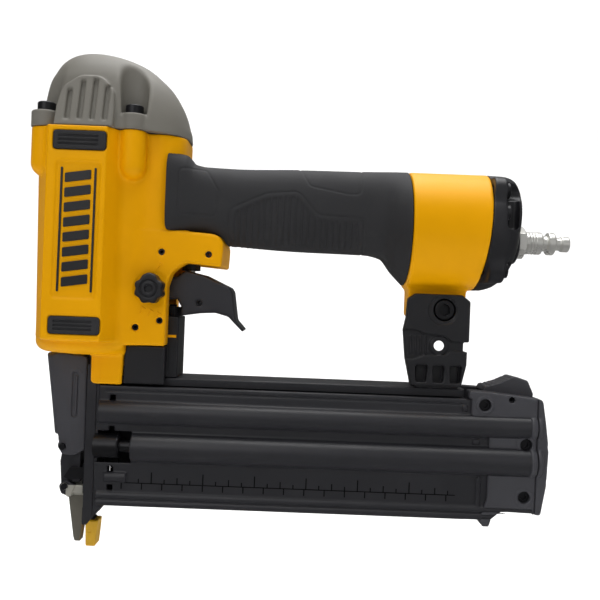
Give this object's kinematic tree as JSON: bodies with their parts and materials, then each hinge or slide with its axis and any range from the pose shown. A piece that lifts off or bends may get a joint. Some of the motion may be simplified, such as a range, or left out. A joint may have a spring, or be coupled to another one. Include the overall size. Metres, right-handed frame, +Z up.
{
  "type": "pneumatic brad nailer",
  "caption": "Hand-held pneumatic brad nailer with side-loading magazine, rubber grip, sprung trigger and contact trip, quick-release nose door and air plug.",
  "frame": {"origin": "on the drive axis, where the nail leaves, in the plane of the contact tip that rests on the work", "axes": "+X back along the handle and magazine to the air plug, +Z up the cylinder to the head cap, -Y the left side, which carries the selector knob"},
  "size_m": [0.2733, 0.0636, 0.248],
  "materials": {
    "yellow_paint": "satin",
    "grey_composite": "matte",
    "black_oxide": "satin",
    "rubber": "matte",
    "badge_black": "matte",
    "anodised": "satin",
    "steel": "satin",
    "dark_steel": "satin",
    "nickel": "gloss",
    "black_plastic": "matte",
    "yellow_rubber": "matte"
  },
  "bodies": {
    "frame": {"housing": "yellow_paint", "head_cap": "grey_composite", "head_cap_screws": "black_oxide", "end_cap_screws": "black_oxide", "bracket_bolt": "black_oxide", "bracket_nut": "black_oxide", "nose_screws": "black_oxide", "door_pin": "black_oxide", "roll_pins": "black_oxide", "latch_catches": "black_oxide", "magazine_rod": "black_oxide", "cap_gasket": "rubber", "side_pads": "rubber", "cylinder_seals": "rubber", "piston_bumper": "rubber", "end_cap_gasket": "rubber", "trigger_valve_seals": "rubber", "grip_sleeve": "rubber", "side_badges": "badge_black", "cylinder_sleeve": "anodised", "magazine_rail": "anodised", "head_valve_spring": "steel", "valve_spring": "steel", "trip_spring": "steel", "nose_tip": "steel", "nose_base": "dark_steel", "air_plug": "nickel", "end_cap": "black_plastic", "exhaust_tube": "black_plastic", "trigger_valve_body": "black_plastic", "nose_cover": "black_plastic", "magazine_brackets": "black_plastic"},
    "selector": {"selector_knob": "black_plastic", "selector_shaft": "steel", "selector_clip": "black_oxide"},
    "trigger_group": {"trigger": "dark_steel", "trigger_pin": "black_oxide", "trigger_spring": "steel"},
    "lever": {"trigger_lever": "dark_steel"},
    "stem": {"valve_stem": "steel"},
    "trip": {"contact_arm": "dark_steel", "trip_rod": "black_oxide", "no_mar_tip": "yellow_rubber"},
    "wheel": {"depth_wheel": "black_plastic"},
    "driver": {"piston": "anodised", "piston_ring": "rubber", "driver_blade": "steel"},
    "firing_valve": {"head_valve": "black_plastic", "head_valve_seal": "rubber"},
    "door": {"nose_door": "dark_steel", "latch_pin": "black_oxide"},
    "door_latch": {"latch_handle": "black_plastic"},
    "magazine_slide": {"magazine_cover": "anodised", "magazine_end": "black_plastic", "magazine_end_screws": "black_oxide", "magazine_latch_pin": "black_oxide", "pusher_spring": "steel"},
    "pusher_group": {"pusher": "black_oxide"},
    "cover_latch": {"magazine_latch": "black_plastic"}
  },
  "joints": [
    {"name": "selector_turn", "type": "hinge", "parent": "frame", "child": "selector", "pos_m": [0.034, 0, 0.1312], "axis": [0, -1, 0], "range_deg": [0, 180]},
    {"name": "trigger_pull", "type": "hinge", "parent": "frame", "child": "trigger_group", "pos_m": [0.034, 0, 0.1312], "axis": [0, -1, 0], "range_deg": [0, 10], "stiffness_Nm_per_rad": 1.2, "springref_deg": -8.59},
    {"name": "lever_swing", "type": "hinge", "parent": "trigger_group", "child": "lever", "pos_m": [0.0558, 0, 0.1253], "axis": [0, 1, 0], "range_deg": [0, 5], "stiffness_Nm_per_rad": 0.02, "springref_deg": -5.73},
    {"name": "stem_travel", "type": "slide", "parent": "frame", "child": "stem", "axis": [0, 0, 1], "range_m": [0, 0.003], "stiffness_N_per_m": 600, "springref_m": -0.002, "deforming": ["valve_spring"]},
    {"name": "trip_travel", "type": "slide", "parent": "frame", "child": "trip", "axis": [0, 0, 1], "range_m": [0, 0.005], "stiffness_N_per_m": 900, "springref_m": -0.006, "deforming": ["trip_spring"]},
    {"name": "depth_turn", "type": "hinge", "parent": "frame", "child": "wheel", "pos_m": [0.0414, 0, 0.1206], "axis": [0, 0, 1], "range_deg": [-180, 180]},
    {"name": "drive_stroke", "type": "slide", "parent": "frame", "child": "driver", "axis": [0, 0, -1], "range_m": [0, 0.077], "stiffness_N_per_m": 60, "springref_m": -0.08},
    {"name": "firing_valve_lift", "type": "slide", "parent": "frame", "child": "firing_valve", "axis": [0, 0, 1], "range_m": [0, 0.004], "stiffness_N_per_m": 1200, "springref_m": -0.005, "deforming": ["head_valve_spring"]},
    {"name": "door_open", "type": "hinge", "parent": "frame", "child": "door", "pos_m": [-0.0082, 0, 0.031], "axis": [0, -1, 0], "range_deg": [0, 75]},
    {"name": "latch_swing", "type": "hinge", "parent": "door", "child": "door_latch", "pos_m": [-0.0094, 0, 0.0512], "axis": [0, -1, 0], "range_deg": [0, 70]},
    {"name": "magazine_open", "type": "slide", "parent": "frame", "child": "magazine_slide", "axis": [1, 0, 0], "range_m": [0, 0.11]},
    {"name": "pusher_travel", "type": "slide", "parent": "magazine_slide", "child": "pusher_group", "axis": [1, 0, 0], "range_m": [0, 0.11], "stiffness_N_per_m": 30, "springref_m": -0.06, "deforming": ["pusher_spring"]},
    {"name": "cover_latch_press", "type": "hinge", "parent": "magazine_slide", "child": "cover_latch", "pos_m": [0.212, 0, 0.0836], "axis": [0, -1, 0], "range_deg": [0, 5], "stiffness_Nm_per_rad": 0.6, "springref_deg": -5.73}
  ]
}
